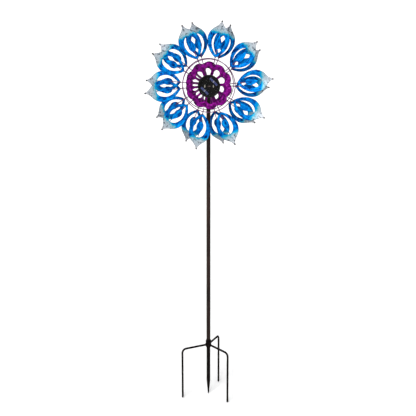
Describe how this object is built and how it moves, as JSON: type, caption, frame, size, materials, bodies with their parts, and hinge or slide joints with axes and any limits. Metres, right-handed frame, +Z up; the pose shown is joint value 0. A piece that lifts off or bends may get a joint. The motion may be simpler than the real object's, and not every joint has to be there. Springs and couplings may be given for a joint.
{
  "type": "garden wind spinner",
  "caption": "Garden stake spinner: two free-turning flower rotors of pierced metal petals around a round solar lamp, on a pole with a pronged ground fork.",
  "frame": {"origin": "on the pole's axis at ground level, where the spike leaves the fork's collar", "axes": "+Z up along the pole, the flower faces -Y, +X to the right as seen from the front"},
  "size_m": [0.6074, 0.2485, 1.898],
  "materials": {
    "brown_powder_coat": "satin dark brown powder coat",
    "zinc_steel": "zinc plated",
    "bright_nut": "bright plated",
    "black_housing": "fine grained black",
    "switch_grey": "fine grained grey",
    "clear_window": "clear polished",
    "solar_blue": "dark blue glossy cell",
    "cell_silver": "tinned strip",
    "lamp_white": "pale clear lens",
    "board_green": "solder resist",
    "battery_sleeve": "shrink sleeve",
    "hub_black": "satin black",
    "bush_bronze": "sintered bronze",
    "wire_plum": "dark plum lacquer on wire",
    "disc_purple": "metallic magenta purple",
    "front_petal_blue": "metallic blue fading through cyan to silver",
    "rear_petal_blue": "metallic blue fading through cyan to silver"
  },
  "bodies": {
    "stand": {"centre_spike": "brown_powder_coat", "fork_collar": "brown_powder_coat", "prong_left": "brown_powder_coat", "prong_right": "brown_powder_coat", "prong_back": "brown_powder_coat", "pole_lower": "brown_powder_coat", "pole_middle": "brown_powder_coat", "pole_upper": "brown_powder_coat", "spigot_lower": "zinc_steel", "spigot_upper": "zinc_steel", "head_tee": "brown_powder_coat", "head_screw": "zinc_steel", "axle": "zinc_steel", "front_thrust_washers": "zinc_steel", "rear_thrust_washers": "zinc_steel", "rear_cap_nut": "bright_nut", "lamp_back_shell": "black_housing", "lamp_bezel": "black_housing", "lamp_window": "clear_window", "solar_cells": "solar_blue", "cell_busbars": "cell_silver", "led_lamps": "lamp_white", "circuit_board": "board_green", "battery": "battery_sleeve", "battery_door": "black_housing", "housing_screws": "zinc_steel", "switch_frame": "black_housing"},
    "front_rotor": {"front_hub": "hub_black", "front_bushes": "bush_bronze", "front_spokes": "wire_plum", "front_wire_ring": "wire_plum", "front_flower_disc": "disc_purple", "front_petal_01": "front_petal_blue", "front_petal_02": "front_petal_blue", "front_petal_03": "front_petal_blue", "front_petal_04": "front_petal_blue", "front_petal_05": "front_petal_blue", "front_petal_06": "front_petal_blue", "front_petal_07": "front_petal_blue", "front_petal_08": "front_petal_blue", "front_petal_09": "front_petal_blue", "front_petal_10": "front_petal_blue"},
    "rear_rotor": {"rear_hub": "hub_black", "rear_bushes": "bush_bronze", "rear_spokes": "wire_plum", "rear_wire_ring": "wire_plum", "rear_flower_disc": "disc_purple", "rear_petal_01": "rear_petal_blue", "rear_petal_02": "rear_petal_blue", "rear_petal_03": "rear_petal_blue", "rear_petal_04": "rear_petal_blue", "rear_petal_05": "rear_petal_blue", "rear_petal_06": "rear_petal_blue", "rear_petal_07": "rear_petal_blue", "rear_petal_08": "rear_petal_blue", "rear_petal_09": "rear_petal_blue", "rear_petal_10": "rear_petal_blue"},
    "switch": {"switch_slider": "switch_grey"}
  },
  "joints": [
    {"name": "front_spin", "type": "hinge", "parent": "stand", "child": "front_rotor", "pos_m": [0, -0.062, 1.339], "axis": [0, -1, 0], "continuous": true},
    {"name": "rear_spin", "type": "hinge", "parent": "stand", "child": "rear_rotor", "pos_m": [0, 0.062, 1.339], "axis": [0, -1, 0], "continuous": true},
    {"name": "switch_slide", "type": "slide", "parent": "stand", "child": "switch", "axis": [0, -1, 0], "range_m": [0, 0.004]}
  ]
}
